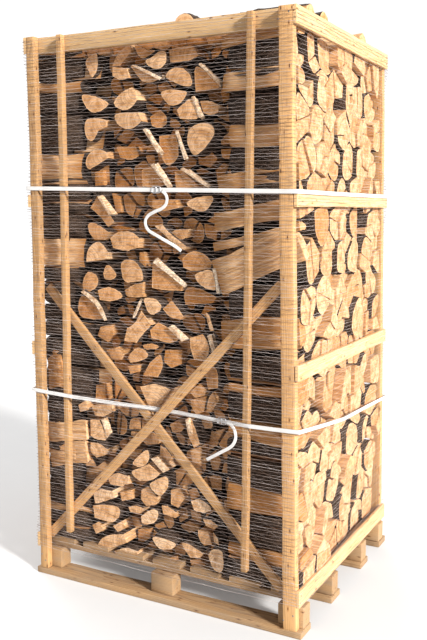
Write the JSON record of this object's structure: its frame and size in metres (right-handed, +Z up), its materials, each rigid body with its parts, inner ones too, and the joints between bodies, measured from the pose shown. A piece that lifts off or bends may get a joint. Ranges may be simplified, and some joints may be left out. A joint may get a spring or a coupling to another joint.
{
  "type": "stack of oak firewood",
  "caption": "Open timber crate on a pallet, packed to the top with split oak logs, wrapped in knitted net and bound by two woven straps.",
  "frame": {"origin": "middle of the footprint, on the ground under the pallet", "axes": "+Z up, +X to the right-hand wall of log ends, -Y out of the front with the crossed braces"},
  "size_m": [1.2081, 1.0467, 2.2453],
  "materials": {
    "pallet_wood": "rough sawn softwood, lightly stained, pale on the edges",
    "frame_wood": "sawn softwood battens, warm tan with fine grain",
    "rail_wood": "thin sawn boards, pale cream",
    "split_oak": "dry split oak: ringed sawn ends, fibrous split faces and dark grey-brown bark",
    "woven_strap": "white woven polyester strap, slightly fibrous",
    "buckle_wire": "bent bright wire",
    "net_thread": "thin whitish plastic net thread, half see-through"
  },
  "bodies": {
    "root": {"brace_front_falling": "frame_wood", "brace_front_rising": "frame_wood", "brace_rear_falling": "frame_wood", "brace_rear_rising": "frame_wood", "buckle_lower": "buckle_wire", "buckle_upper": "buckle_wire", "lath_front_left": "frame_wood", "lath_front_right": "frame_wood", "lath_rear_left": "frame_wood", "lath_rear_right": "frame_wood", "log_column_left": "split_oak", "log_column_right": "split_oak", "log_row_front": "split_oak", "log_row_middle": "split_oak", "log_row_rear": "split_oak", "loose_log_front": "split_oak", "loose_log_front_right": "split_oak", "loose_log_rear": "split_oak", "loose_log_rear_left": "split_oak", "loose_log_right_middle": "split_oak", "loose_log_right_rear": "split_oak", "pallet_block_1_1": "pallet_wood", "pallet_block_1_2": "pallet_wood", "pallet_block_1_3": "pallet_wood", "pallet_block_2_1": "pallet_wood", "pallet_block_2_2": "pallet_wood", "pallet_block_2_3": "pallet_wood", "pallet_block_3_1": "pallet_wood", "pallet_block_3_2": "pallet_wood", "pallet_block_3_3": "pallet_wood", "pallet_block_4_1": "pallet_wood", "pallet_block_4_2": "pallet_wood", "pallet_block_4_3": "pallet_wood", "pallet_deck": "pallet_wood", "pallet_runner_1": "pallet_wood", "pallet_runner_2": "pallet_wood", "pallet_runner_3": "pallet_wood", "pallet_runner_4": "pallet_wood", "post_front_left": "frame_wood", "post_front_right": "frame_wood", "post_rear_left": "frame_wood", "post_rear_right": "frame_wood", "side_rail_left_base": "rail_wood", "side_rail_left_lower": "rail_wood", "side_rail_left_top": "rail_wood", "side_rail_left_upper": "rail_wood", "side_rail_right_base": "rail_wood", "side_rail_right_lower": "rail_wood", "side_rail_right_top": "rail_wood", "side_rail_right_upper": "rail_wood", "strap_lower": "woven_strap", "strap_tail_lower": "woven_strap", "strap_tail_upper": "woven_strap", "strap_upper": "woven_strap", "top_rail_front": "frame_wood", "top_rail_rear": "frame_wood", "wrap_net": "net_thread"}
  },
  "joints": []
}
